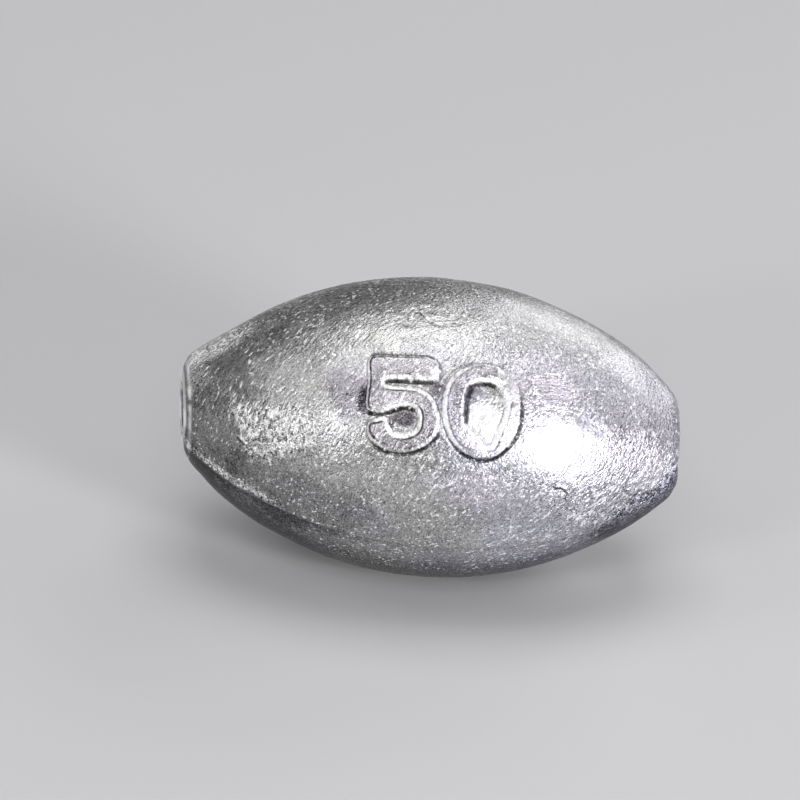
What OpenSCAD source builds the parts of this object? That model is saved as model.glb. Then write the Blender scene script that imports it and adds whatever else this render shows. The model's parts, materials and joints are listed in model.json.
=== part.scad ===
// Olive-shaped fishing sinker: one lead casting with a hole for the line through its length.
// The hole runs along X, through the origin, and the sinker lies on its side with +Z up.
// Its side is one long arc, which a tangent rim rounding leads onto a narrow flat end face.

/* [Body] */
// Length of the casting, from end face to end face
body_len = 29; // [20:0.5:60]
// Diameter at the middle, where the casting is widest
body_d = 17.5; // [14:0.5:26]
// Radius that rounds the rim between the side and each end face
rim_r = 1.8; // [0.6:0.1:3]

/* [Line hole] */
// Diameter of the hole that the line runs through
bore_d = 2.8; // [1.4:0.1:4]
// Radius that rounds each mouth of the hole, so that it doesn't cut the line
mouth_r = 0.3; // [0.1:0.05:0.6]
// Width of the flat ring between the mouth of the hole and the rim
face_w = 0.3; // [0.1:0.05:1]

/* [Parting line] */
// Height of the flash that stands along the side where the mould halves met
seam_h = 0.12; // [0.05:0.01:0.3]
// Width of the flash
seam_w = 0.35; // [0.2:0.05:0.8]
// Distance from each end face at which the flash stops
seam_stop = 0.5; // [0.2:0.1:3]
// Angle that the parting plane rises from front to back, in degrees
seam_tilt = 20; // [0:1:80]

/* [Feed stub] */
// Diameter of the stub where the feed was cut off, on the parting line at the back
feed_d = 2.4; // [1:0.1:5]
// Height of the stub above the widest place
feed_h = 0.18; // [0.05:0.01:0.6]

/* [Hidden] */
// Steps along half of the side, round a rim and round a mouth
side_steps = 24;
rim_steps = 8;
mouth_steps = 6;
// Degrees that a rim or a mouth turns through to face along the hole
facing = 90;
// How far a cut or a buried end runs past what it meets
overrun = 1;
// Fineness of the turned shapes
$fn = 96;

body_r = body_d / 2;
half_len = body_len / 2;
bore_r = bore_d / 2;
mouth_edge_r = bore_r + mouth_r;

// Centre of the rim rounding: how far it is from the hole's axis and from the middle
rim_out = mouth_edge_r + face_w;
rim_along = half_len - rim_r;

// Radius of the side arc that touches the widest place and the rim rounding
rim_below = body_r - rim_out;
side_r = (rim_along^2 + rim_below^2 - rim_r^2) / (2 * (rim_below - rim_r));
side_out = body_r - side_r;
side_angle = atan2(rim_along, rim_out - side_out);

// Points on an arc, as distances from the hole's axis and along it
function arc(out, along, r, from, to, steps) =
    [for (i = [0:steps])
        let (turn = from + (to - from) * i / steps)
            [out + r * cos(turn), along + r * sin(turn)]];

// A half outline from the middle to one end, with its mirror image on the other end
function both_ends(half) =
    concat([for (i = [len(half) - 1:-1:0]) [half[i][0], -half[i][1]]], half);

// Outline of the casting before its hole, raised all round by the given height
function side_outline(raise) =
    both_ends(concat(
        arc(side_out, 0, side_r + raise, 0, side_angle, side_steps),
        arc(rim_out, rim_along, rim_r + raise, side_angle, facing, rim_steps),
        [[0, half_len + raise]]));

// Outline of the hole, which widens round each mouth and runs out past the end faces
function hole_outline() =
    both_ends(concat(
        arc(mouth_edge_r, half_len - mouth_r, mouth_r, 2 * facing, facing, mouth_steps),
        [[mouth_edge_r, half_len + overrun], [0, half_len + overrun]]));

// Turns an outline round the X axis
module turned(outline) {
    rotate([0, facing, 0])
        rotate_extrude()
            polygon(outline);
}

// The long sides that the mould halves gave the metal
module solid_olive() {
    turned(side_outline(0));
}

// Thin fin on both sides of the casting, in the plane where the mould opened
module flash() {
    intersection() {
        turned(side_outline(seam_h));
        rotate([seam_tilt, 0, 0])
            cube([body_len - 2 * seam_stop, body_d + 2 * (seam_h + overrun), seam_w], center = true);
    }
}

// Round stub left by the cutters, flat on top
module feed_stub() {
    rotate([seam_tilt - facing, 0, 0])
        translate([0, 0, body_r - overrun])
            cylinder(d = feed_d, h = overrun + feed_h);
}

// Hole for the line, left by the core pin
module line_hole() {
    turned(hole_outline());
}

module cast_body() {
    color([0.62, 0.62, 0.65])
        difference() {
            union() {
                solid_olive();
                flash();
                feed_stub();
            }
            line_hole();
        }
}

cast_body();
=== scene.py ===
# %% [markdown]
# # A fishing sinker cast in lead
# The real object is one piece of lead, poured into a two-part mould round a thin core pin.
# So there is one mesh here, and all the work goes into its skin: the raised weight mark, the
# line where the mould halves met, the laps and lumps of the metal, and a grainy satin finish.
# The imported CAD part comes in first, and everything else takes its place and size from it.

# %% Load the frame
import json
import math

import bmesh
import bpy
from mathutils import Matrix, Vector


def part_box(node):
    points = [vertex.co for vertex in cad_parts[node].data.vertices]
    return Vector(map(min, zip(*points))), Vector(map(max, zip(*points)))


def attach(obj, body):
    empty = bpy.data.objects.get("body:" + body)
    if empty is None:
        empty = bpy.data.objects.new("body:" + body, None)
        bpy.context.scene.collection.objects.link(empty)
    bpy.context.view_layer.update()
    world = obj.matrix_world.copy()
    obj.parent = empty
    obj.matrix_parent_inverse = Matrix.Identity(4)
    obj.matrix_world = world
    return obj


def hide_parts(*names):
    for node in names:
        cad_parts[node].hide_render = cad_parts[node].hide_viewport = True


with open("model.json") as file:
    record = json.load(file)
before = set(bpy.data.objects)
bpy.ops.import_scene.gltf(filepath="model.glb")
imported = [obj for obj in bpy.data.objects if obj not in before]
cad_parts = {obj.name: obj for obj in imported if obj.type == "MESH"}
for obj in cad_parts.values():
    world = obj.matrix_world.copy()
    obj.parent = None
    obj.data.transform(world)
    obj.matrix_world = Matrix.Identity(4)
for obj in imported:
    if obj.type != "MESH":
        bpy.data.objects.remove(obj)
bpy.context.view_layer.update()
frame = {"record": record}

MM = 0.001
cad_low, cad_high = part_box("cast_body")
body_len = cad_high.x - cad_low.x
body_r = (cad_high.z - cad_low.z) / 2
print(f"casting {body_len / MM:.2f} mm long, {2 * body_r / MM:.2f} mm across")

# %% [markdown]
# ## Sizes of the turned shape
# The hole comes from the record's mount: its radius, and a wall that is shorter than the casting
# by the rounding of both mouths. The flat ring and the rim radius are the CAD part's own.
# Length and diameter could be typed in too, but read from the part they always agree with it.

# %% Sizes of the section
line_bore = next(m for m in frame["record"]["mounts"] if m["name"] == "line_bore")
bore_r = line_bore["dims"]["r_mm"] * MM
mouth_r = (body_len - line_bore["dims"]["length_mm"] * MM) / 2
face_w = 0.3 * MM
rim_r = 1.8 * MM

half_len = body_len / 2
mouth_out = bore_r + mouth_r
rim_out = mouth_out + face_w
rim_along = half_len - rim_r
rim_below = body_r - rim_out
side_r = (rim_along**2 + rim_below**2 - rim_r**2) / (2 * (rim_below - rim_r))
side_out = body_r - side_r
side_turn = math.atan2(rim_along, rim_out - side_out)
print(f"side arc of {side_r / MM:.2f} mm, turning {math.degrees(side_turn):.1f} degrees each way")

# %% [markdown]
# ## The section, as a closed curve
# A stretched sphere would come close, but it has no flat ends and no hole. A turned part is
# easiest to change when its section is drawn once, from arcs. This one starts on the wall of the
# hole, goes out over the right end, along the side and back in at the left end. X is the distance
# along the hole and Y is the distance from its axis.


# %% Section curve
def arc(along, out, radius, start, end, steps=48):
    """Points on an arc. The angle is 0 straight out from the hole and a quarter turn along it."""
    turns = [start + (end - start) * i / steps for i in range(steps + 1)]
    return [(along + radius * math.sin(t), out + radius * math.cos(t)) for t in turns]


quarter = math.pi / 2
right_end = [(0, bore_r)]
right_end += arc(half_len - mouth_r, mouth_out, mouth_r, 2 * quarter, quarter)
right_end += arc(rim_along, rim_out, rim_r, quarter, side_turn)
right_side = arc(0, side_out, side_r, side_turn, 0, steps=160)[1:]
half_section = right_end + right_side
section = half_section + [(-x, y) for x, y in reversed(half_section[1:-1])]


def length_of(points):
    """Length of a run of points."""
    return sum(math.dist(a, b) for a, b in zip(points, points[1:]))


bore_half = length_of(half_section[:2])
section_half = length_of(half_section)
print(f"section {2 * section_half / MM:.1f} mm round")
print(f"{2 * bore_half / MM:.1f} mm of it in the hole")


def add_object(name, data):
    """A new object in the scene, with the given data."""
    made = bpy.data.objects.new(name, data)
    bpy.context.scene.collection.objects.link(made)
    return made


def curve_object(name, runs, rounded=False, closed=True):
    """A curve object with one run for each list of points, with round bends if asked."""
    data = bpy.data.curves.new(name, "CURVE")
    data.dimensions = "3D"
    data.resolution_u = 6
    for points in runs:
        spline = data.splines.new("BEZIER" if rounded else "POLY")
        knots = spline.bezier_points if rounded else spline.points
        knots.add(len(points) - 1)
        for knot, point in zip(knots, points):
            at = (*point, 0)[:3]
            if rounded:
                knot.co = at
                knot.handle_left_type = knot.handle_right_type = "AUTO"
            else:
                knot.co = (*at, 1)
        spline.use_cyclic_u = closed
    return add_object(name, data)


section_curve = curve_object("section", [section])

# %% [markdown]
# ## Where things lie round the casting
# Angles round the hole are measured from -Y, the front, up over the top. The camera looks down at
# the casting, so what the photograph shows at its middle lies this much above level. A place on
# the skin is given as its distance from the middle in millimetres, and as its angle above the
# middle of the view in degrees.

# %% Places round the hole
view_rise = math.radians(30)
mark_middle = (-0.01, 7.57)
seam_turn = view_rise - math.radians(50)
feed_turn = seam_turn + math.pi
seam_below = 0.35 * MM
print(f"seam at {math.degrees(seam_turn):.0f} degrees, feed stub at {math.degrees(feed_turn):.0f}")

# %% [markdown]
# ## The weight mark
# The number is cut into the mould, so it stands proud of the casting. A text object could give a
# number too, but in the shapes of a typeface, and these are the mould maker's own. Each figure is
# drawn flat, as the line where its foot meets the skin: the 5 is one loop, and the 0 has a second
# loop for its middle. Later each point of the skin asks how deep inside such a loop it is.

# %% Outlines of the figures
five_foot = [
    (-4.54, 1.8), (-4.57, 2.51), (-4.4, 2.85), (-3.89, 2.97), (-2.67, 3.01), (-1.33, 3.04),
    (-0.86, 2.95), (-0.51, 2.72), (-0.39, 2.32), (-0.36, 1.97), (-0.42, 1.66), (-0.62, 1.49),
    (-0.95, 1.43), (-1.94, 1.42), (-2.52, 1.4), (-3.21, 1.36), (-3.42, 1.28), (-3.23, 1.19),
    (-2.57, 1.19), (-1.85, 1.16), (-1.22, 1), (-0.65, 0.53), (-0.31, -0.12), (-0.14, -0.81),
    (-0.22, -1.46), (-0.63, -2.08), (-1.26, -2.53), (-2.01, -2.8), (-2.8, -2.8), (-3.56, -2.58),
    (-4.03, -2.25), (-4.31, -1.8), (-4.41, -1.39), (-4.3, -1.02), (-3.92, -0.76), (-3.5, -0.64),
    (-3.19, -0.71), (-3.04, -0.94), (-2.99, -1.21), (-2.86, -1.45), (-2.45, -1.58), (-1.96, -1.48),
    (-1.65, -1.25), (-1.58, -0.88), (-1.66, -0.4), (-2.01, -0.18), (-2.47, -0.18), (-2.93, -0.36),
    (-3.45, -0.57), (-4.02, -0.61), (-4.42, -0.43), (-4.56, -0.05), (-4.55, 0.53), (-4.51, 1.27),
]
nought_foot = [
    (-0.2, 0.41), (-0.15, -0.41), (0.05, -1.14), (0.44, -1.86), (0.98, -2.39), (1.68, -2.75),
    (2.43, -2.85), (3.1, -2.65), (3.66, -2.21), (4.11, -1.65), (4.39, -1.03), (4.51, -0.31),
    (4.52, 0.41), (4.41, 1.33), (4.11, 1.99), (3.6, 2.47), (3.05, 2.74), (2.39, 2.85),
    (1.77, 2.81), (1.13, 2.62), (0.56, 2.25), (0.13, 1.71), (-0.12, 1.08),
]
nought_middle = [
    (1.25, 0.41), (1.26, -0.35), (1.4, -0.87), (1.76, -1.2), (2.23, -1.51), (2.69, -1.92),
    (2.91, -1.55), (3.13, -0.88), (3.39, -0.16), (3.45, 0.51), (3.25, 1.16), (2.86, 1.5),
    (2.11, 1.57), (1.5, 1.34), (1.31, 0.93),
]


def in_metres(points):
    """Points given in millimetres, as metres."""
    return [(x * MM, y * MM) for x, y in points]


five_curve = curve_object("five_foot", [in_metres(five_foot)], rounded=True)
nought_curve = curve_object("nought_foot", [in_metres(nought_foot), in_metres(nought_middle)],
                            rounded=True)
print(f"weight mark of {len(five_foot)} and {len(nought_foot) + len(nought_middle)} points")

# %% [markdown]
# ## Folds in the metal
# Lead sets as it runs, so a casting keeps small folds where one tongue of metal met another. They
# are thin raised lines. Sculpting could draw them, but as a few places on the skin each one stays
# easy to move. Those on the back and the underside, which the photograph doesn't show, are of the
# same kind.

# %% Places of the folds
folds = {
    "left lap": [(-10.64, 3.7), (-11.53, 0), (-11.98, -6.8), (-11.72, -12.3), (-11.29, -17),
                 (-10.72, -19.8), (-10.18, -20)],
    "upper lap": [(-1.44, 48.9), (-1.15, 46.2), (-0.87, 44.7), (0.12, 44.7), (0.6, 45.7),
                  (1.01, 50.7), (1.31, 52.9)],
    "upper loop": [(-2.83, 45), (-2.26, 42.7), (-2.13, 46.6), (-2.14, 48.9), (-1.61, 50.1),
                   (-0.92, 50.3)],
    "hook": [(6.93, -22.35), (7.36, -23.1), (7.62, -24.8), (7.78, -27.5), (7.75, -29.6)],
    "right nick": [(11.15, -29.5), (11.63, -34.3), (11.94, -35.7), (12.11, -34)],
    "lower nick": [(12.59, -59.8), (12.96, -61.1), (13.37, -63.6)],
    "lower arc": [(9.72, -61.9), (9.66, -57.3), (9.86, -54.6)],
    "left nick": [(-8.15, -41.2), (-7.62, -41.7)],
    "back fold": [(-3, 151), (-1.2, 148), (0.8, 149), (2.2, 154)],
    "back curl": [(5.5, 205), (6.6, 209), (6.9, 216), (6.1, 221)],
    "under fold": [(-6.5, 262), (-4.8, 259), (-3.9, 264)],
}


def on_skin(along_mm, degrees_up):
    """The point of the plain skin at a distance from the middle and an angle above the view."""
    x = along_mm * MM
    out = side_out + math.sqrt(side_r**2 - x**2)
    turn = view_rise + math.radians(degrees_up)
    return (x, -out * math.cos(turn), out * math.sin(turn))


fold_curve = curve_object("folds", [[on_skin(*p) for p in run] for run in folds.values()],
                          rounded=True, closed=False)
print(f"{len(folds)} folds")

# %% [markdown]
# ## Lighter and darker patches, partly painted light and shade
# Lead dulls unevenly as it is handled and stored, so its grey wanders from place to place. Many
# patches also paint light and shade: painted shade in the hollows of the figures, at the left end,
# at the top left and on the lower rims, and painted highlights in the middle of the 0, at the end
# of the 5's bar and round the key light. That could be painted on an image, but in a table of
# patches each one can be found and changed. A patch is a soft ellipse, and its five values are its
# place, its half length and half height in millimetres, how much lighter it is, how violet (or
# blue, below zero), and how much grainier.

# %% Places of the patches
# Real stains together with painted shade and painted highlights, in one table.
stains_and_painted_light = {
    # Painted shade in the bowl of the 5 and between the figures; painted highlight at the end of
    # the bar.
    "bowl of the 5": ((-2.3, 2.3), (0.7, 0.45), -0.37, 1, -0.6),
    "bar of the 5": ((-2.4, 24), (1.6, 0.4), 0.06, 0, 0),
    "between the figures": ((-0.49, 14.9), (0.46, 0.4), -0.2, 1, -0.5),
    "end of the bar": ((-0.66, 20.6), (0.3, 0.24), 0.6, 0, -0.3),
    "right of the bowl": ((-0.8, 4.5), (0.5, 1.3), -0.12, 0.3, 0),
    "left of the ring": ((0.8, 7), (0.35, 1.5), -0.08, 0.2, 0),
    "right of the ring": ((3.95, 7), (0.42, 1.9), 0.24, 0.2, 0),
    "top left of the ring": ((1.2, 19), (0.8, 0.5), 0.1, 0.2, 0),
    # Painted highlight in the middle of the 0.
    "middle of the 0": ((2.4, 3), (0.9, 1.25), 0.33, 0.1, -0.4),
    "top of the middle": ((1.85, 14.6), (0.6, 0.3), -0.06, 1, -0.4),
    "left of the 5": ((-5.6, 14), (1.3, 1.2), -0.12, 0.6, 0),
    "low left of the 5": ((-5.7, -5), (1.1, 1.3), -0.04, 0.2, 0),
    "above left of the 5": ((-5.6, 22.5), (1.4, 1.2), 0.16, 0.2, 0),
    "above the 5": ((-1.2, 33.5), (1.7, 0.6), -0.08, 0, 0),
    "foot of the 5": ((-4.72, 8.5), (0.26, 0.8), -0.26, 1, 0),
    "right of the 0": ((5.9, 22), (2.4, 1.9), 0.1, 0.7, 0.3),
    "ridged patch": ((6.25, 19.5), (1, 0.8), 0.32, 0.3, 0.3),
    "right shoulder": ((3, 36), (4, 1.6), 0.05, 0.1, 0.25),
    "top right": ((12, 51), (2.4, 1.6), 0.26, 0, 0.2),
    "left shoulder": ((-12.5, 66), (1.7, 1.2), 0.2, 0, 0.8),
    "lower right": ((10.5, -26), (4.2, 3), 0.08, 0.2, 0.65),
    "right of the nick": ((12.4, -20), (1, 1.4), 0.08, 0.2, 0),
    "right end": ((11.6, 12), (2.2, 2.6), -0.02, 0.4, -0.1),
    "right edge": ((13.4, 4), (0.7, 4), 0.1, 0.2, 0),
    # Painted shade on the lower right rim and beside the seam.
    "low right rim": ((12.4, -62), (2.6, 1.9), -0.36, -1, 0.6),
    "right of the seam": ((13.9, -45), (0.8, 1.6), -0.1, -1, 0.5),
    "below the key light": ((4.8, -53), (3.2, 2), 0.13, 0, 0.1),
    "right below the 0": ((4.2, -28), (2.6, 1.1), 0.07, 0.1, 0),
    "below the 0": ((1.9, -22), (2, 1.2), 0.08, 0.6, 0.1),
    # Painted shade at the left end, on its lower rim, at the low left and at the top left.
    "left end": ((-13.4, 4), (3, 6), -0.16, 0, -0.3),
    "low left rim": ((-13.8, -66), (1.2, 1.4), -0.25, 0, 0),
    "low left": ((-8, -44), (5, 2.2), -0.16, 0.1, -0.25),
    "upper left": ((-10, 32), (5.5, 4), 0, 0, -0.2),
    "top left": ((-10.3, 62), (1.6, 2), -0.17, 0, -0.2),
    "left edge": ((-13.7, 50), (0.5, 1.8), 0, 0, 0.5),
    "top": ((0, 46), (7, 3.4), 0, 0, -0.25),
    "by the upper laps": ((0.8, 51), (3, 1.4), 0.08, 0, 0),
    "right of the top": ((6.5, 66), (3.6, 1.3), 0.12, 0, 0),
    "below the 5": ((-2, -22), (2.4, 1), 0.06, 0, 0),
    "key light": ((7.7, -3), (2.1, 2.1), 0.05, 0, -0.5),
}
print(f"{len(stains_and_painted_light)} patches")

# %% [markdown]
# ## Writing node trees as sums
# A tree of Math nodes is hard to read when each node takes three lines. This small class stands
# for a socket: adding, multiplying or comparing it adds the node and gives its output back.


# %% Node helpers
class Field:
    """A socket of a node tree that sums can be written with."""

    def __init__(self, tree, socket):
        self.tree = tree
        self.socket = socket

    def math(self, operation, *others):
        """One Math node, with this socket as its first value."""
        node = self.tree.nodes.new("ShaderNodeMath")
        node.operation = operation
        for i, value in enumerate((self, *others)):
            feed(self.tree, node.inputs[i], value)
        return Field(self.tree, node.outputs[0])

    def __add__(self, other):
        return self.math("ADD", other)

    def __sub__(self, other):
        return self.math("SUBTRACT", other)

    def __mul__(self, other):
        return self.math("MULTIPLY", other)

    def __truediv__(self, other):
        return self.math("DIVIDE", other)

    def ramp(self, start, end, low=0.0, high=1.0):
        """A smooth step from low to high as this value goes from start to end."""
        node = self.tree.nodes.new("ShaderNodeMapRange")
        node.interpolation_type = "SMOOTHSTEP"
        values = (self, start, end, low, high)
        for name, value in zip(("Value", "From Min", "From Max", "To Min", "To Max"), values):
            feed(self.tree, node.inputs[name], value)
        return Field(self.tree, node.outputs[0])

    def ramp_mm(self, start, end, low=0.0, high=1.0):
        """The same with its start and end in millimetres."""
        return self.ramp(start * MM, end * MM, low, high)

    def fade(self, start, end):
        """A smooth fall from 1 to 0 as this value goes from start to end."""
        return self.ramp(start, end, 1.0, 0.0)

    def fade_mm(self, start, end):
        """The same with its start and end in millimetres."""
        return self.fade(start * MM, end * MM)

    def near_mm(self, middle, inner, outer):
        """1 within an inner distance of a value and 0 beyond an outer one, in millimetres."""
        return (self - middle * MM).math("ABSOLUTE").fade_mm(inner, outer)

    def weakens(self, share):
        """A factor that falls from 1 by a share as this mask goes from 0 to 1."""
        return self * -share + 1.0


def largest(first, *others):
    """The largest of some fields at each place."""
    for other in others:
        first = first.math("MAXIMUM", other)
    return first


def smallest(first, *others):
    """The smallest of some fields at each place."""
    for other in others:
        first = first.math("MINIMUM", other)
    return first


def distance_of(first, *others):
    """The length of a way whose parts along each axis are given."""
    total = first * first
    for other in others:
        total = total + other * other
    return total.math("SQRT")


def feed(tree, socket, value):
    """Joins a field or a socket to an input, or writes a plain value there."""
    if isinstance(value, Field):
        value = value.socket
    if isinstance(value, bpy.types.NodeSocket):
        tree.links.new(value, socket)
    else:
        socket.default_value = value


def put(tree, kind, inputs=None, **options):
    """Adds a node, sets its options, feeds its inputs and returns it."""
    node = tree.nodes.new(kind)
    for option, value in options.items():
        setattr(node, option, value)
    for key, value in (inputs or {}).items():
        feed(tree, node.inputs[key], value)
    return node


def field(tree, kind, inputs=None, output=0, **options):
    """Adds a node and returns one of its outputs as a field."""
    return Field(tree, put(tree, kind, inputs, **options).outputs[output])


def vector(tree, x=0.0, y=0.0, z=0.0):
    """A vector made of three values."""
    return field(tree, "ShaderNodeCombineXYZ", {"X": x, "Y": y, "Z": z})


def parts_of(tree, place):
    """The X, Y and Z of a vector, as fields."""
    split = put(tree, "ShaderNodeSeparateXYZ", {"Vector": place})
    return [Field(tree, part) for part in split.outputs]


def noise(tree, place, size, detail=2, roughness=0.5):
    """Noise with lumps of about the given size, from 0 to 1."""
    inputs = {"Vector": place, "Scale": 1 / size, "Detail": detail, "Roughness": roughness}
    return field(tree, "ShaderNodeTexNoise", inputs)


def count_nodes(tree, step):
    """Prints how many nodes a tree has after a step."""
    print(f"{tree.name}: {len(tree.nodes)} nodes after {step}")


# %% [markdown]
# ## The sheet that becomes the skin
# The skin starts as a flat sheet: X is the distance along the section and Y the angle round the
# hole. Its squares are small, and smaller still under the weight mark, the lap, the sharpest folds
# and the seams. Cutting faces there keeps the sheet one closed mesh, which a second, finer patch
# laid on top wouldn't be.

# %% Flat sheet
ring_count = 252
column_step = 0.21 * MM
bore_columns = 6
outer_columns = round(2 * (section_half - bore_half) / column_step)
bore_step = bore_half / bore_columns
outer_step = 2 * (section_half - bore_half) / outer_columns
columns = [i * bore_step for i in range(bore_columns)]
columns += [bore_half + i * outer_step for i in range(outer_columns)]
columns += [2 * section_half - bore_half + i * bore_step for i in range(bore_columns + 1)]
first_turn = -math.pi
print(f"{len(columns)} columns of {ring_count} squares")

sheet_mesh = bmesh.new()
grid = []
for length in columns:
    turns = [first_turn + 2 * math.pi * j / ring_count for j in range(ring_count + 1)]
    grid.append([sheet_mesh.verts.new((length, turn, 0)) for turn in turns])
for left, right in zip(grid, grid[1:]):
    for j in range(ring_count):
        sheet_mesh.faces.new((left[j], right[j], right[j + 1], left[j + 1]))


def refine(mesh, inside, cuts):
    """Cuts the edges of the faces whose middle is inside a region."""
    faces = [f for f in mesh.faces if inside(f.calc_center_median())]
    edges = list({e for f in faces for e in f.edges})
    bmesh.ops.subdivide_edges(mesh, edges=edges, cuts=cuts, use_grid_fill=True)


def along_of(point):
    """Distance from the middle of the side, along it, of a place on the sheet."""
    return section_half - point.x


def in_patch(middle, half_size):
    """A test for places on the sheet that are within a patch of the skin."""
    middle_along, middle_up = middle
    half_along, half_up = half_size

    def inside(point):
        along = along_of(point) - middle_along * MM
        up = (point.y - view_rise - math.radians(middle_up)) * body_r
        return abs(along) < half_along * MM and abs(up) < half_up * MM

    return inside


def by_seam(point):
    """Is this place on the sheet next to a seam?"""
    turn = (point.y - seam_turn + quarter) % math.pi - quarter
    on_the_side = abs(along_of(point)) < section_half - bore_half
    return abs(turn) * body_r < seam_band and on_the_side


fine_patches = [
    (mark_middle, (4.9, 3.3), 4),
    ((-9.1, -4), (3.5, 2.9), 1),
    ((-0.7, 47.5), (2.6, 1.1), 1),
    ((6.4, -25), (2.2, 1.2), 1),
]
seam_band = 0.75 * MM
for middle, half_size, cuts in fine_patches:
    refine(sheet_mesh, in_patch(middle, half_size), cuts)
refine(sheet_mesh, by_seam, cuts=1)
sheet_data = bpy.data.meshes.new("sheet")
sheet_mesh.to_mesh(sheet_data)
sheet_mesh.free()
casting = add_object("lead_casting", sheet_data)
print(f"sheet of {len(sheet_data.polygons)} faces")

# %% [markdown]
# ## Relief and turning, as Geometry Nodes
# The tree reads a place on the sheet, finds the point of the section at that distance, adds the
# relief along the section's normal, and turns the point round the hole by the angle. The figures
# could also be solids joined to the side, but their edges would be sharp, and cast ones are soft.
# Here everything that stands proud or sinks in is a height, so features simply add up.

# %% Tree inputs
skin_tree = bpy.data.node_groups.new("turned_skin", "GeometryNodeTree")
skin_curves = {"Section": section_curve, "Five": five_curve, "Nought": nought_curve,
               "Folds": fold_curve}
skin_sizes = {
    "Mark Turn": view_rise + math.radians(mark_middle[1]),
    "Mark Along": mark_middle[0] * MM,
    "Mark Height": 0.28 * MM,
    "Mark Steep": 0.2 * MM,
    "Mark Slope": 0.34 * MM,
    "Bead Height": 0.09 * MM,
    "Foot Groove": 0.06 * MM,
    "Fold Height": 0.055 * MM,
    "Lap Height": 0.1 * MM,
    "Crinkle Height": 0.1 * MM,
    "Seam Turn": seam_turn,
    "Seam Below": seam_below,
    "Seam Slant": 0.014,
    "Seam Height": 0.1 * MM,
    "Seam Half Width": 0.2 * MM,
    "Seam Step": 0.05 * MM,
    "End Skew": 0.085,
    "End Shift": 0.1 * MM,
    "Feed Radius": 1.2 * MM,
    "Feed Height": 0.18 * MM,
    "Wave Height": 0.16 * MM,
    "Ripple Height": 0.06 * MM,
    "Lump Height": 0.03 * MM,
}
skin_sockets = {"Geometry": "NodeSocketGeometry", "Material": "NodeSocketMaterial"}
skin_sockets.update({socket_name: "NodeSocketObject" for socket_name in skin_curves})
skin_sockets.update({socket_name: "NodeSocketFloat" for socket_name in skin_sizes})
for socket_name, kind in skin_sockets.items():
    skin_tree.interface.new_socket(socket_name, in_out="INPUT", socket_type=kind)
skin_tree.interface.new_socket("Geometry", in_out="OUTPUT", socket_type="NodeSocketGeometry")
group_in = skin_tree.nodes.new("NodeGroupInput")
group_out = skin_tree.nodes.new("NodeGroupOutput")


def given(name):
    """One of the tree's named inputs."""
    return Field(skin_tree, group_in.outputs[name])


def curve_input(name):
    """The curve of one of the tree's named objects."""
    return put(skin_tree, "GeometryNodeObjectInfo", {"Object": given(name)}).outputs["Geometry"]


print(f"{len(skin_sockets)} named inputs")

# %% [markdown]
# ### From the sheet to the section
# Sample Curve turns a distance along the section into a point and a tangent. The place on the
# plain skin, before any relief, is worked out too, because noises and folds are read there.

# %% Place on the section
here = put(skin_tree, "GeometryNodeInputPosition").outputs[0]
length, turn = parts_of(skin_tree, here)[:2]
sample = put(skin_tree, "GeometryNodeSampleCurve",
             {"Curves": curve_input("Section"), "Length": length}, mode="LENGTH")
along, out = parts_of(skin_tree, sample.outputs["Position"])[:2]
along_step, out_step = parts_of(skin_tree, sample.outputs["Tangent"])[:2]
across = out * turn.math("COSINE") * -1.0
rise = out * turn.math("SINE")
plain_place = vector(skin_tree, along, across, rise)
above_view = turn - view_rise
end_edge = along.math("ABSOLUTE") * -1.0 + half_len
at_left = along.math("LESS_THAN", 0.0)


def from_ellipse(middle, half_size):
    """Distance from a place on the skin, which is 1 on an ellipse of the given half sizes."""
    aside = (along - middle[0] * MM) / (half_size[0] * MM)
    above = (turn - (view_rise + math.radians(middle[1]))) * out / (half_size[1] * MM)
    return distance_of(aside, above)


count_nodes(skin_tree, "the place on the section")

# %% [markdown]
# ### What breaks the lines up
# No line on a casting runs evenly, and no patch has a clean edge. These noises are made once and
# shared: two break lines up, into long pieces and short ones, and one makes edges wander.

# %% Shared noises
def skin_noise(size_mm, detail, roughness=0.5):
    """Noise on the plain skin, with lumps of about the given size."""
    return noise(skin_tree, plain_place, size_mm * MM, detail, roughness)


long_break = skin_noise(1.6, 2).ramp(0.35, 0.62, 0.2, 1.0)
short_break = skin_noise(0.8, 3).ramp(0.35, 0.6, 0.15, 1.0)
edge_wander = (skin_noise(0.9, 3) - 0.5) * 0.9
count_nodes(skin_tree, "the shared noises")

# %% [markdown]
# ### The figures
# Each point of the skin asks for the nearest point of a figure's outline, and so knows how far
# inside or outside it is, and which way the foot of the figure faces there. Light and wear treat
# a foot that faces down to the right differently from one that faces up to the left.

# %% Feet of the figures
down_right, up_left = (0.55, -0.83), (-0.9, 0.4)
mark_across = along - given("Mark Along")
mark_up = (turn - given("Mark Turn")) * out
mark_place = vector(skin_tree, mark_across, mark_up)


def as_lines(curve):
    """A curve as the edges of a mesh, which distances can be taken from."""
    return put(skin_tree, "GeometryNodeCurveToMesh", {"Curve": curve}).outputs[0]


def nearest(geometry, place, element):
    """Distance to the nearest face or edge, and the way from there, along X, Y and Z."""
    node = put(skin_tree, "GeometryNodeProximity",
               {"Geometry": geometry, "Sample Position": place}, target_element=element)
    way = put(skin_tree, "ShaderNodeVectorMath", {0: place, 1: node.outputs["Position"]},
              operation="SUBTRACT")
    return Field(skin_tree, node.outputs["Distance"]), *parts_of(skin_tree, way.outputs[0])


def figure(name):
    """Is a place inside a figure, how far is its foot, and which way does the foot face?"""
    outline = curve_input(name)
    filled = put(skin_tree, "GeometryNodeFillCurve", {"Curve": outline}).outputs[0]
    to_face = nearest(filled, mark_place, "FACES")[0]
    to_line, right, up = nearest(as_lines(outline), mark_place, "EDGES")[:3]
    inside = to_face.math("LESS_THAN", 0.001 * MM)
    outward = (inside * -2.0 + 1.0) / (to_line + 0.0001 * MM)
    return inside, to_line, right * outward, up * outward


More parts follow.
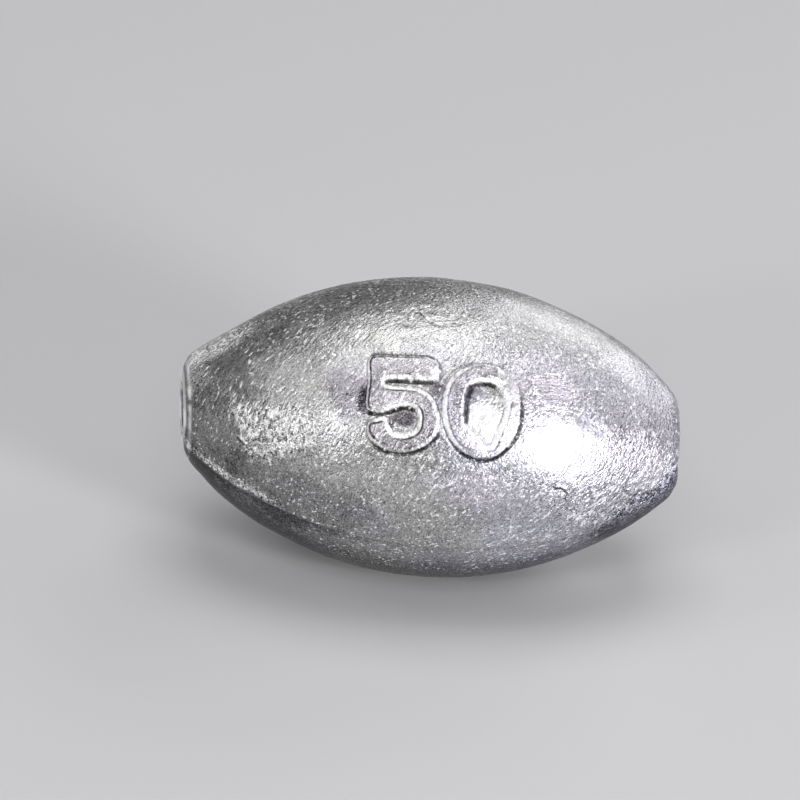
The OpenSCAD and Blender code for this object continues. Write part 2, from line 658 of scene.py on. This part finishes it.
in_five, to_five, five_right, five_up = figure("Five")
in_nought, to_nought, nought_right, nought_up = figure("Nought")
is_five = to_five.math("LESS_THAN", to_nought)
inside = largest(in_five, in_nought)
to_foot = smallest(to_five, to_nought)
deep_in = largest(to_five * in_five, to_nought * in_nought)
deep = to_foot * (inside * 2.0 - 1.0)
faces_right = nought_right + (five_right - nought_right) * is_five
faces_up = nought_up + (five_up - nought_up) * is_five
faces_down_right = faces_right * down_right[0] + faces_up * down_right[1]
faces_up_left = faces_right * up_left[0] + faces_up * up_left[1]
count_nodes(skin_tree, "the feet of the figures")

# %% [markdown]
# A figure is a plateau: its slope starts steep at the foot and rounds off at the top, and it is
# steeper along the border of the number than inside. Its edge wavers a little, and the upper
# right of the 0 is half melted away. The cutter also threw up a burr along its edge in the mould,
# which presses a fine groove round each foot, and leaves small beads beside it.

# %% Height of the weight mark
mark_half_along, mark_half_up = 4.45 * MM, 2.9 * MM
melt_across, melt_up = 3.9 * MM, 1.8 * MM
rounding = 1.6
bead_cell, bead_share = 0.24 * MM, 0.6

bevel_noise = noise(skin_tree, mark_place, 0.3 * MM)
to_border = smallest(mark_across.math("ABSOLUTE") * -1.0 + mark_half_along,
                     mark_up.math("ABSOLUTE") * -1.0 + mark_half_up)
within = to_border.ramp_mm(0.2, 0.8)
from_melt = distance_of(mark_across - melt_across, mark_up - melt_up)
melted = (from_melt + (bevel_noise - 0.5) * (1.2 * MM)).fade_mm(0.5, 1.4)
slope = given("Mark Steep") + (given("Mark Slope") - given("Mark Steep")) * within
slope = slope + melted * (0.55 * MM)
edge_wobble = (noise(skin_tree, mark_place, 0.13 * MM, detail=1) - 0.5) * (0.3 * MM)
wobbled = deep_in + edge_wobble * deep_in.ramp_mm(0, 0.08)
climbed = wobbled.math("MAXIMUM", 0.0) / slope
to_top = climbed.math("MINIMUM", 1.0).weakens(1.0)
plateau = to_top.math("POWER", rounding).weakens(1.0) * inside * given("Mark Height")
plateau = plateau * melted.weakens(0.4)

between = mark_across.near_mm(-0.15, 0.35, 0.7)
between = between * mark_up.near_mm(-0.2, 1.1, 1.5)
shaded = faces_down_right.ramp(-0.3, 0.5) * between.weakens(0.8)
groove = to_foot.fade_mm(0, 0.16) * inside.weakens(1.0) * (shaded * 0.6 + 0.4)
bead_cells = put(skin_tree, "ShaderNodeTexVoronoi",
                 {"Vector": mark_place, "Scale": 1 / bead_cell})
bead_pick = field(skin_tree, "FunctionNodeSeparateColor", {"Color": bead_cells.outputs["Color"]})
mark_bead = Field(skin_tree, bead_cells.outputs["Distance"]).fade(0.12, 0.42)
mark_bead = mark_bead * bead_pick.math("LESS_THAN", bead_share)
mark_bead = mark_bead * deep.ramp_mm(-0.1, -0.04) * deep.fade_mm(0.12, 0.2) * shaded
mark_height = plateau - groove * given("Foot Groove") + mark_bead * given("Bead Height")
count_nodes(skin_tree, "the height of the weight mark")

# %% [markdown]
# The slopes of the figures get a painted highlight, partly wear from handling, least along the
# number's lower right border and at the melted place. Painted shade lies at the foot: a thin line
# all round, and a broader one where it faces down to the right. A thin dark line also runs along
# the upper left of each top.

# %% Finish of the weight mark: painted highlight, wear and painted shade
bevel_break = largest(bevel_noise.ramp(0.36, 0.5, 0.45, 1.0), faces_right.fade(-0.95, -0.7))
soft_edge = mark_across.ramp_mm(2.7, 3.1) * faces_right.fade(-0.6, 0.0)
soft_edge = soft_edge * mark_up.near_mm(0, 1.2, 2.0)
# Painted highlight on the slopes of the figures, partly wear.
mark_sheen_and_wear = climbed.ramp(0.05, 0.25) * climbed.fade(0.75, 1.05) * bevel_break
mark_sheen_and_wear = mark_sheen_and_wear * ((within - 1.0) * shaded * 0.7 + 1.0)
mark_sheen_and_wear = mark_sheen_and_wear * soft_edge.weakens(0.1) * melted.weakens(0.8)
mark_sheen_and_wear = largest(mark_sheen_and_wear, mark_bead)

deep_wall = faces_right.ramp(0.5, 0.9) * mark_across.ramp_mm(0.8, 1.2)
deep_wall = deep_wall * mark_across.fade_mm(1.8, 2.2) * mark_up.ramp_mm(-1.2, 0.9)
top_border = faces_up.ramp(0.6, 0.9) * mark_up.ramp_mm(2.2, 2.5)
bar_end = mark_across.near_mm(-0.42, 0.15, 0.45) * mark_up.ramp_mm(1.3, 1.6)
dark_side = largest(shaded, top_border * (is_five * 0.5 + 0.4))
foot_half = shaded * (within * (-0.03 * MM) + 0.15 * MM) + deep_wall * (0.16 * MM) + 0.05 * MM
foot_half = foot_half + top_border * (0.09 * MM)
# Painted shade at the foot of the figures, broader where the foot faces down to the right.
mark_foot_shade = ((to_foot + edge_wobble * 0.6) / foot_half).fade(0.5, 1.0)
mark_foot_shade = mark_foot_shade * (dark_side * 0.45 + 0.55) * (short_break * 0.2 + dark_side * 0.8)
mark_foot_shade = mark_foot_shade * bar_end.weakens(0.75) * melted.weakens(0.8)

top_line = (deep_in - slope * 1.1).near_mm(0, 0.03, 0.08)
top_line = top_line * faces_up_left.ramp(0.0, 0.6) * smallest(short_break + 0.6, 1.0)
top_line = top_line * (is_five * 0.45 + 0.55) * soft_edge.weakens(0.3)
mark_foot_shade = largest(mark_foot_shade, top_line) * mark_bead.weakens(1.0)
mark_face = climbed.ramp(1.0, 1.3)
count_nodes(skin_tree, "the finish of the weight mark")

# %% [markdown]
# ### Folds and laps
# A fold is a thin raised line between two shallow grooves, of which the lower one gets painted
# shade, and a painted highlight runs along the line, strongest on the top folds. The lap at the
# left is a whole tongue of metal: it ends in one of the folds, fades out to the right, and its top
# is crinkled and flecked with painted glints.

# %% Height of the folds and of the left lap
fold_lower_way = (0.6, 0.4, 0.7)
lap_middle_along, lap_middle_up = -9.25 * MM, -0.6 * MM

fold_near, *fold_way = nearest(as_lines(curve_input("Folds")), plain_place, "EDGES")
to_fold = fold_near + skin_noise(0.5, 1) * (0.1 * MM)
fold_break = skin_noise(0.6, 2).ramp(0.42, 0.58)
fold_line = to_fold.fade_mm(0.05, 0.17) * fold_break
fold_x, fold_y, fold_z = (part * share for part, share in zip(fold_way, fold_lower_way))
fold_down = (fold_x + fold_y + fold_z) / (fold_near + 0.001 * MM)
# Painted shade on the lower side of each fold.
fold_shade = to_fold.ramp_mm(0.1, 0.15) * to_fold.fade_mm(0.2, 0.3)
fold_shade = fold_shade * fold_down.fade(-0.4, 0.2) * fold_break
fold_side = to_fold.fade_mm(0.1, 0.5)
fold_height = (fold_line * 1.6 - fold_side * 0.6) * given("Fold Height")

lap_along = along - lap_middle_along
lap_up = above_view * out - lap_middle_up
lap_wander = skin_noise(0.9, 2) * (0.5 * MM)
lap_start = (lap_along + lap_up * 0.45 + lap_wander).ramp_mm(-2.5, -2.1)
lap_floor = (lap_up + lap_wander - lap_along * 0.35).ramp_mm(-2.1, -1.2)
lap_roof = (lap_up + lap_wander).fade_mm(0.6, 2.2)
lap_end = lap_along.fade_mm(0.5, 3.0)
lap = lap_start * lap_floor * lap_roof * lap_end
crinkle = skin_noise(0.34, 2, 0.6) - 0.5
lap_fleck = skin_noise(0.2, 2, 0.6)
lap_height = lap * given("Lap Height") + lap * crinkle * given("Crinkle Height")
count_nodes(skin_tree, "the folds and the lap")

# %% [markdown]
# ### The seam
# The seam is a low bead on both sides of the casting. Metal only creeps into the gap between the
# mould halves here and there, so noise breaks the bead up, and it fades out to the right. The
# halves never met quite true: their plane passes a little below the hole, and the upper half
# stands a little proud of the lower one.

# %% Height of the seam
over_seam = out * (turn - given("Seam Turn")).math("SINE") + given("Seam Below")
over_seam = over_seam + along * given("Seam Slant")
from_seam = over_seam.math("ABSOLUTE")
bead = from_seam.fade(0.0, given("Seam Half Width"))
upper_lip = over_seam.ramp_mm(-0.08, 0.08) * from_seam.fade_mm(0, 1.5)
seam_fade = along.ramp_mm(-6, 3, 1.0, 0.3)
seam_height = bead * long_break * seam_fade * given("Seam Height") + upper_lip * given("Seam Step")

seam_patch = skin_noise(1.1, 3).ramp(0.52, 0.62)
seam_worn = from_seam.fade_mm(0.03, 0.14) * seam_patch
seam_worn = seam_worn * along.ramp_mm(-8, -2, 0.7, 0.12)
left_seam = over_seam.ramp_mm(0, 0.1) * over_seam.fade_mm(0.3, 0.75)
left_seam = left_seam * along.fade_mm(-10.0, -8.6)
under = over_seam.fade_mm(-0.25, 0.02)
count_nodes(skin_tree, "the seam")

# %% [markdown]
# ### The feed stub
# Lead is poured in through a channel in the mould, here at the back. What set in it is cut off
# with pincers, which leaves a flat, clean disc with a bright edge, and painted shade darkens its
# foot. A short cylinder could be joined on, but as a height the stub stays part of the one closed
# skin.

# %% Height of the feed stub
feed_r = given("Feed Radius")
from_feed = distance_of((turn - feed_turn) * out, along)
stub = from_feed.fade(feed_r - 0.15 * MM, feed_r)
feed_height = stub * given("Feed Height")
stub_face = from_feed.fade(feed_r - 0.25 * MM, feed_r - 0.15 * MM)
stub_edge = stub * stub_face.weakens(1.0)
# Painted shade round the foot of the stub.
stub_foot_shade = from_feed.ramp(feed_r - 0.02 * MM, feed_r + 0.04 * MM)
stub_foot_shade = stub_foot_shade * from_feed.fade(feed_r + 0.1 * MM, feed_r + 0.22 * MM)
count_nodes(skin_tree, "the feed stub")

# %% [markdown]
# ### Waves of the cooling metal
# Lead shrinks as it cools, which leaves the side slightly uneven. Three noises add up: waves
# about 5 mm wide, ripples, and lumps that are only seen because they catch the light. A bump in
# the material could stand in for them, but only true relief also shows in the outline.

# %% Waves, ripples and lumps
wave = skin_noise(5, 1) - 0.5
ripple = skin_noise(1.3, 1) - 0.5
lumps = skin_noise(0.5, 1) - 0.5
loose_height = (wave * given("Wave Height") + ripple * given("Ripple Height")
                + lumps * given("Lump Height"))
count_nodes(skin_tree, "the waves")

# %% [markdown]
# ## Where the skin is rubbed, rough, or painted lit and shaded
# Handling rubs the edges bright, and painted highlights lie on the slopes of the figures, the
# folds and the rims, and painted shade in the grooves at the foot of the figures, in the hole and
# below the folds. All follow the shape, so they are written on the mesh as attributes, which the
# material reads: wear with painted highlights, painted shade, violet, stains with painted light
# and shade (how much lighter), grain (how rough) and ridged.

# %% Painted highlights and painted shade at the ends of the casting
left_share, right_share = 1.0, 0.3
# Painted highlight on the end rings and round the mouths of the hole, stronger at the left.
ring_highlight = end_edge.fade_mm(0.015, 0.05) * out.ramp(mouth_out - 0.05 * MM, mouth_out)
mouth_highlight = out.ramp(bore_r + 0.05 * MM, bore_r + 0.1 * MM)
mouth_highlight = mouth_highlight * out.fade(mouth_out - 0.05 * MM, mouth_out)
end_highlight = largest(ring_highlight, mouth_highlight) * (at_left * (left_share - right_share) + right_share)
end_highlight = end_highlight * largest(long_break, 0.6)
# Painted highlight along the left rim.
rim_highlight = end_edge.ramp_mm(0.1, 0.17) * end_edge.fade_mm(0.25, 0.36)
rim_highlight = rim_highlight * at_left * short_break
# Painted shade inside the hole and on the rim of the left end.
hole_shade = out.fade(bore_r, bore_r + 0.06 * MM)
left_rim_shade = end_edge.fade_mm(0.05, 0.75) * at_left
count_nodes(skin_tree, "the rubbed ends")

# %% [markdown]
# The patches of the table add up on top of a few broad ones of painted shade: the left part below
# the seam, the underside and the crown are a little darker. How high a place lies is read from the
# sine of its angle, so that nothing jumps where the angle round the hole starts again, at the
# back.

# %% Attributes of the skin
ridge_middle, ridge_half_size = (6.35, 20.5), (1.1, 1)
up_share = above_view.math("SINE")
underside_shade = up_share.fade(-0.985, -0.85)
crown_shade = up_share.ramp(0.88, 0.98)
under_left_shade = under * along.ramp_mm(-10, -3, 1.0, 0.2)
# Painted shade below the seam at the left, on the underside and on the crown.
stain_and_light_sum = under_left_shade * -0.17 - underside_shade * 0.26 - crown_shade * 0.1
violet_sum = mark_face * 0.6 + under_left_shade * 0.4
grain_sum = lap * 1.3 + under * -0.1
for middle, half_size, stain, violet, grain in stains_and_painted_light.values():
    mask = (from_ellipse(middle, half_size) + edge_wander).fade(0.7, 1.35)
    stain_and_light_sum = stain_and_light_sum + mask * stain
    violet_sum = violet_sum + mask * violet
    grain_sum = grain_sum + mask * grain
# Painted shade on the left rim; the band above the seam at the left and the stub's face are
# lighter.
stain_and_light_sum = stain_and_light_sum - left_rim_shade * 0.2 + left_seam * 0.2 + stub_face * 0.16
grain_sum = grain_sum + left_seam * 1.8 + 0.78 - stub_face * 0.5

# Painted highlight along the folds, strongest on the top ones, and painted glints on the lap.
top_folds = up_share.ramp(0.59, 0.64, 0.1, 0.5)
fold_highlight = fold_line * largest(along.ramp_mm(-9.5, -8.5, 0.5, 0.1), top_folds)
lap_glints = lap * lap_fleck.ramp(0.5, 0.62) * 0.55
from_ridges = from_ellipse(ridge_middle, ridge_half_size) + edge_wander * 0.6
skin_marks = {
    # Wear and painted highlights; painted shade at the feet, in the hole, below the folds and
    # round the stub.
    "worn": largest(mark_sheen_and_wear, fold_highlight, seam_worn, end_highlight, lap_glints, stub_edge * 0.7,
                    rim_highlight * 0.85),
    "foot": largest(mark_foot_shade, hole_shade, fold_shade, stub_foot_shade * 0.7),
    "violet": violet_sum.math("MINIMUM", 1.0),
    "stain": stain_and_light_sum + lap * (lap_fleck - 0.46) * 0.6,
    "grain": grain_sum.math("MAXIMUM", 0.1),
    "ridged": from_ridges.fade(0.8, 1.15),
}
marked = group_in.outputs["Geometry"]
for attribute, value in skin_marks.items():
    stored = put(skin_tree, "GeometryNodeStoreNamedAttribute",
                 {"Geometry": marked, "Name": attribute, "Value": value},
                 data_type="FLOAT", domain="POINT")
    marked = stored.outputs[0]
print(f"attributes: {', '.join(skin_marks)}")

# %% [markdown]
# ## Turning
# A Screw modifier could turn the section, but without a height of its own at each place, so sine
# and cosine do it here. All heights fade out towards the mouth of the hole, where the core pin
# kept the metal true. The ends of this casting aren't square: both lean, the left one more, and
# sit a little to the left.

# %% Turn the sheet into the casting
right_lean = 0.4
outside = out.ramp(mouth_out, rim_out + 0.3 * MM)
height = mark_height + fold_height + lap_height + seam_height + feed_height + loose_height
height = height * outside
right_part, left_part = along.ramp_mm(11.5, 14.2), along.fade_mm(-14.2, -12)
lean = up_share * out * (right_part * right_lean + left_part) * given("End Skew")
end_shift = given("End Shift") * (out.fade_mm(1.8, 2.6) + 0.8)
skin_along = along + out_step * height - lean - (right_part + left_part) * end_shift
skin_out = out - along_step * height
turned_place = vector(skin_tree, skin_along, skin_out * turn.math("COSINE") * -1.0,
                      skin_out * turn.math("SINE"))
turned = put(skin_tree, "GeometryNodeSetPosition",
             {"Geometry": marked, "Position": turned_place})
closed = put(skin_tree, "GeometryNodeMergeByDistance",
             {"Geometry": turned.outputs[0], "Distance": 0.001 * MM})
smooth = put(skin_tree, "GeometryNodeSetShadeSmooth", {"Geometry": closed.outputs[0]})
real = put(skin_tree, "GeometryNodeRealizeInstances", {"Geometry": smooth.outputs[0]})
dressed = put(skin_tree, "GeometryNodeSetMaterial",
              {"Geometry": real.outputs[0], "Material": group_in.outputs["Material"]})
skin_tree.links.new(dressed.outputs[0], group_out.inputs["Geometry"])
print(f"skin tree of {len(skin_tree.nodes)} nodes")

# %% [markdown]
# ## Lead as it leaves the mould
# Fresh lead is a bright blue grey. Air dulls it to a neutral satin grey within days, thicker in
# the hollows and rubbed thin on the high spots. An image could be wrapped round it, but would
# smear at the ends, so noises and specks that fill space make the finish. Round specks serve for
# its beads and pits, and drawn out also for its dashes, so they are a group: cells, of which a
# random share has a speck.

# %% Group for specks
speck_group = bpy.data.node_groups.new("specks", "ShaderNodeTree")
for socket_name in ("Size", "Share", "Radius"):
    speck_group.interface.new_socket(socket_name, in_out="INPUT", socket_type="NodeSocketFloat")
speck_group.interface.new_socket("Place", in_out="INPUT", socket_type="NodeSocketVector")
speck_group.interface.new_socket("Mask", in_out="OUTPUT", socket_type="NodeSocketFloat")
speck_in = speck_group.nodes.new("NodeGroupInput").outputs
speck_out = speck_group.nodes.new("NodeGroupOutput").inputs
speck_cells = put(speck_group, "ShaderNodeTexVoronoi",
                  {"Vector": speck_in["Place"],
                   "Scale": Field(speck_group, speck_in["Size"]).math("POWER", -1.0)})
speck_away = Field(speck_group, speck_cells.outputs["Distance"])
speck_pick = put(speck_group, "ShaderNodeSeparateColor", {"Color": speck_cells.outputs["Color"]})
speck_chosen = Field(speck_group, speck_pick.outputs[0]).math("LESS_THAN", speck_in["Share"])
speck_mask = speck_away.ramp(0.0, speck_in["Radius"], 1.0, 0.0) * speck_chosen
feed(speck_group, speck_out["Mask"], speck_mask)


def specks(tree, place, size, share, radius):
    """Round specks in a random share of cells. The radius is a part of the cell's size."""
    node = put(tree, "ShaderNodeGroup", node_tree=speck_group)
    for name, value in (("Place", place), ("Size", size), ("Share", share), ("Radius", radius)):
        feed(tree, node.inputs[name], value)
    return Field(tree, node.outputs["Mask"])


count_nodes(speck_group, "the mask")

# %% [markdown]
# The material reads the attributes by name. Scratches and dashes run aslant across the casting,
# so it also needs coordinates that are drawn out along that way, some more and some less.

# %% Cast lead
lead = bpy.data.materials.new("cast_lead")
lead.use_nodes = True
lead_tree = lead.node_tree
lead_shader = lead_tree.nodes["Principled BSDF"]
stroke_way = Vector((0.55, 0.42, 0.73))
stroke_turn = Vector((1, 0, 0)).rotation_difference(stroke_way).to_euler()
view_up_y, view_up_z = 0.5, 0.87


def skin_attribute(name):
    """A value that the skin tree wrote on the mesh."""
    return field(lead_tree, "ShaderNodeAttribute", output="Fac", attribute_name=name)


def drawn_out(longer):
    """Object coordinates drawn out along the strokes."""
    node = put(lead_tree, "ShaderNodeMapping", {"Vector": lead_place}, vector_type="TEXTURE")
    node.inputs["Rotation"].default_value = stroke_turn
    node.inputs["Scale"].default_value = (longer, 1, 1)
    return node.outputs[0]


worn, foot, violet, stain, grain, ridged = (
    skin_attribute(name) for name in ("worn", "foot", "violet", "stain", "grain", "ridged"))
lead_place = put(lead_tree, "ShaderNodeTexCoord").outputs["Object"]
stroke_place, dash_place = drawn_out(2.4), drawn_out(4)
lead_along, lead_y, lead_z = parts_of(lead_tree, lead_place)
lead_up = lead_y * view_up_y + lead_z * view_up_z
count_nodes(lead_tree, "the coordinates")

# %% [markdown]
# Relief that is too fine for the mesh goes into a bump: grain, beads, pits, short dashes, and one
# patch of fine ridges beside the 0, as a file leaves them in a mould. The dashes and the glints
# between them also get painted glints of near white, added to the wear and painted highlights,
# except on the darkest patches.

# %% Grain heights
bump_depth = 0.068 * MM
ridge_step = 0.034 * MM
coarse = noise(lead_tree, stroke_place, 0.16 * MM)
fine = noise(lead_tree, lead_place, 0.11 * MM)
micro = noise(lead_tree, lead_place, 0.07 * MM, detail=1)
mottle = noise(lead_tree, lead_place, 0.6 * MM, roughness=0.6)
beads = specks(lead_tree, lead_place, 0.3 * MM, 0.3, 0.35)
pits = specks(lead_tree, lead_place, 0.42 * MM, 0.2, 0.25)
dash = specks(lead_tree, dash_place, 0.3 * MM, 0.45, 0.25).ramp(0.15, 0.5)
ridges = (lead_up / ridge_step + mottle * 12.0).math("SINE") * ridged
relief = coarse + fine * 0.4 + beads * 0.25 - pits * 0.3 + mottle * 0.4
relief = (relief + dash * 0.6) * grain + ridges
lead_bump = put(lead_tree, "ShaderNodeBump",
                {"Height": relief, "Strength": 1.0, "Distance": bump_depth})
lead_tree.links.new(lead_bump.outputs[0], lead_shader.inputs["Normal"])

glint_patch = noise(lead_tree, lead_place, 1.8 * MM)
glint = noise(lead_tree, stroke_place, 0.2 * MM, roughness=0.6) + glint_patch * 0.25
glint = (glint + (grain - 0.6) * 0.06).ramp(0.74, 0.8)
# Painted glints.
sparkle = largest(glint * 0.8, dash * 0.7) * stain.ramp(-0.32, -0.22, 0.1, 1.0)
worn = largest(worn, sparkle)
count_nodes(lead_tree, "the grain heights")

# %% [markdown]
# One grey value, the tone, carries most of the look. It starts from a base, takes on the blotches,
# the grain and the patches of stain and painted light, goes towards near white where the skin is
# worn or has a painted highlight and towards black in the painted shade, and only then gets its
# tinge: bluish at the right, violet where the patches say so.

# %% Grain colours
base_tone, sheen_and_wear_tone = 0.45, 0.95
darkest, lightest = 0.03, 0.95
neutral, blue_grey, violet_grey = (1, 1, 0.99, 1), (0.9, 0.88, 1.12, 1), (0.99, 0.93, 1.04, 1)
blotch = noise(lead_tree, lead_place, 2.5 * MM, detail=4, roughness=0.6)
texture = (micro - 0.5) * 1.4 + (coarse - 0.5) * 0.6 + (mottle - 0.5) * 0.25
tone = (blotch - 0.5) * 0.2 + texture * (grain * 0.9 + 0.2)
tone = tone + beads * 0.3 - pits * 0.12 + base_tone + stain + ridges * 0.2
# Towards near white at wear and painted highlights.
tone = tone + (tone * -1.0 + sheen_and_wear_tone) * worn * 0.9
# Towards black in painted shade.
tone = tone * foot.weakens(0.93)
tone = smallest(largest(tone, darkest), lightest)

cloud = noise(lead_tree, lead_place, 3.5 * MM, detail=3)
bluish = (lead_along / (16 * MM) + cloud * 2.4).ramp(1.0, 1.75, 0.0, 0.55)
bluish = largest(bluish, violet * -1.0)
bluish = bluish * (tone * -0.8 + 1.3) * lead_up.ramp_mm(2.5, 6, 1.0, 0.3)
shades = put(lead_tree, "ShaderNodeMix", {"Factor": bluish}, data_type="RGBA")
shades.inputs["A"].default_value = neutral
shades.inputs["B"].default_value = blue_grey
tinged = put(lead_tree, "ShaderNodeMix", {"Factor": violet, "A": shades.outputs["Result"]},
             data_type="RGBA")
tinged.inputs["B"].default_value = violet_grey
coloured = put(lead_tree, "ShaderNodeVectorMath",
               {0: tinged.outputs["Result"], "Scale": tone}, operation="SCALE")
lead_tree.links.new(coloured.outputs[0], lead_shader.inputs["Base Color"])
feed(lead_tree, lead_shader.inputs["Metallic"], worn.weakens(0.75))
feed(lead_tree, lead_shader.inputs["Roughness"], (coarse - 0.5) * 0.4 + 0.38)
print(f"material of {len(lead_tree.nodes)} nodes")

# %% [markdown]
# ## From tree to plain mesh
# The tree could stay on the casting, but its curves would have to go wherever the casting goes.
# So the modifier's inputs are set by their identifiers, the result is copied into a plain mesh,
# and the modifier goes. The copy is checked: closed, with its faces pointing out.

# %% Evaluate the skin
modifier = casting.modifiers.new("turned_skin", "NODES")
modifier.node_group = skin_tree
skin_inputs = {**skin_curves, **skin_sizes, "Material": lead}
for item in skin_tree.interface.items_tree:
    if item.in_out == "INPUT" and item.name in skin_inputs:
        modifier[item.identifier] = skin_inputs[item.name]
graph = bpy.context.evaluated_depsgraph_get()
plain = bpy.data.meshes.new_from_object(casting.evaluated_get(graph))
casting.modifiers.clear()
casting.data = plain
check = bmesh.new()
check.from_mesh(plain)
if check.calc_volume(signed=True) < 0:
    bmesh.ops.reverse_faces(check, faces=check.faces)
    check.to_mesh(plain)
open_edges = sum(1 for e in check.edges if not e.is_manifold)
triangle_count = sum(len(f.verts) - 2 for f in check.faces)
print(f"{triangle_count} triangles, {open_edges} open edges")
print(f"{check.calc_volume() / MM**3:.0f} mm3")
check.free()
for spare in skin_curves.values():
    bpy.data.objects.remove(spare)

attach(casting, "root")
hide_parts("cast_body")

# %% [markdown]
# ## Camera
# The photograph looks at the casting almost square on, with its left end a little nearer. The
# camera has the long lens of a close-up. It is rolled, because the sinker lies at a slant in the
# picture: turning the casting instead would take it out of the frame of the CAD part.

# %% Camera
photo_width = 800
photo_middle = (431.5, 427.0)
photo_px_per_mm = 17.1
photo_slant = math.radians(4.31)
end_on = math.radians(4.5)
lens, sensor = 600, 36

swing = math.asin(math.sin(end_on) / math.cos(view_rise))
back = Vector((-math.sin(swing) * math.cos(view_rise),
               -math.cos(swing) * math.cos(view_rise), math.sin(view_rise)))
level = back.to_track_quat("Z", "Y").to_matrix()
axis_slant = math.atan2(level.col[1].x, level.col[0].x)
upright = level @ Matrix.Rotation(photo_slant + axis_slant, 3, "Z")
distance = photo_width / photo_px_per_mm * MM * lens / sensor
aside, below = ((at - photo_width / 2) / photo_px_per_mm * MM for at in photo_middle)
from_middle = Vector((-aside, below, distance))
aim = from_middle.rotation_difference(Vector((0, 0, 1))).to_matrix()
turned_camera = upright @ aim
place = turned_camera @ from_middle

camera_data = bpy.data.cameras.new("camera")
camera_data.lens = lens
camera_data.sensor_width = sensor
camera_data.clip_start, camera_data.clip_end = 0.01, 10
camera = add_object("camera", camera_data)
camera.matrix_world = Matrix.Translation(place) @ turned_camera.to_4x4()
bpy.context.scene.camera = camera
print(f"camera {distance:.2f} m away, rolled by {math.degrees(photo_slant):.1f} degrees")

# %% [markdown]
# ## Floor
# The floor is plain and pale, it fills every view, and the casting just touches it.

# %% Floor
floor_size = 3
floor_grey = (0.47, 0.47, 0.48, 1)
floor_material = bpy.data.materials.new("pale_floor")
floor_material.use_nodes = True
floor_shader = floor_material.node_tree.nodes["Principled BSDF"]
floor_shader.inputs["Base Color"].default_value = floor_grey
floor_shader.inputs["Roughness"].default_value = 0.9
bpy.ops.mesh.primitive_plane_add(size=floor_size, location=(0, 0, cad_low.z))
floor = bpy.context.object
floor.name = "floor"
floor.data.materials.append(floor_material)
print(f"floor at {cad_low.z / MM:.2f} mm")

# %% [markdown]
# ## Lamps
# Metal shows its lamps, so the bright places of the photograph say where they stand: each of
# these soft lamps is in the mirror direction of a spot that it lights, and the larger the spot,
# the larger the lamp. Each has its angle aside from the camera and its angle up, as seen from
# the casting, then its width and height in metres and its power in watts.

# %% Lamps
lamps = {
    "key_lamp": (45, -7, 0.065, 0.08, 0.68),
    "top_lamp": (3, 66, 0.2, 0.18, 0.41),
    "front_lamp": (0, 12, 0.1, 0.1, 0.17),
    "right_lamp": (85, 30, 0.16, 0.16, 0.16),
    "rear_lamp": (135, 52, 0.18, 0.16, 0.23),
    "left_lamp": (-35, -3, 0.06, 0.05, 0.27),
    "far_left_lamp": (-108, 8, 0.06, 0.1, 0.2),
    "upper_left_lamp": (-50, 34, 0.12, 0.12, 0.09),
    "rear_left_lamp": (-134, 30, 0.08, 0.08, 0.11),
}
lamp_distance = 0.3
tilt_off = Matrix.Rotation(-photo_slant, 3, "Z")
right_way, up_way = ((upright @ tilt_off).col[i] for i in range(2))


def soft_lamp(name, aside, rise, width, height, power):
    """A soft rectangular lamp, placed by its angles and turned to face the casting."""
    aside, rise = math.radians(aside), math.radians(rise)
    way = (right_way * math.sin(aside) * math.cos(rise)
           + back * math.cos(aside) * math.cos(rise) + up_way * math.sin(rise))
    data = bpy.data.lights.new(name, "AREA")
    data.shape = "RECTANGLE"
    data.size, data.size_y = width, height
    data.energy = power
    lamp = add_object(name, data)
    facing = way.to_track_quat("Z", "Y").to_matrix().to_4x4()
    lamp.matrix_world = Matrix.Translation(way * lamp_distance) @ facing


for lamp_name, settings in lamps.items():
    soft_lamp(lamp_name, *settings)
print(f"{len(lamps)} soft lamps")

# %% [markdown]
# ## World
# A weak, even grey stands for the walls of the room, so that no side of the metal mirrors black.

# %% World
sky_grey, sky_strength = (0.45, 0.45, 0.47, 1), 0.25
world = bpy.data.worlds.new("studio")
bpy.context.scene.world = world
world.use_nodes = True
sky = world.node_tree.nodes["Background"]
sky.inputs["Color"].default_value = sky_grey
sky.inputs["Strength"].default_value = sky_strength
bpy.context.scene.view_settings.view_transform = "Standard"
print(f"world of strength {sky_strength}")
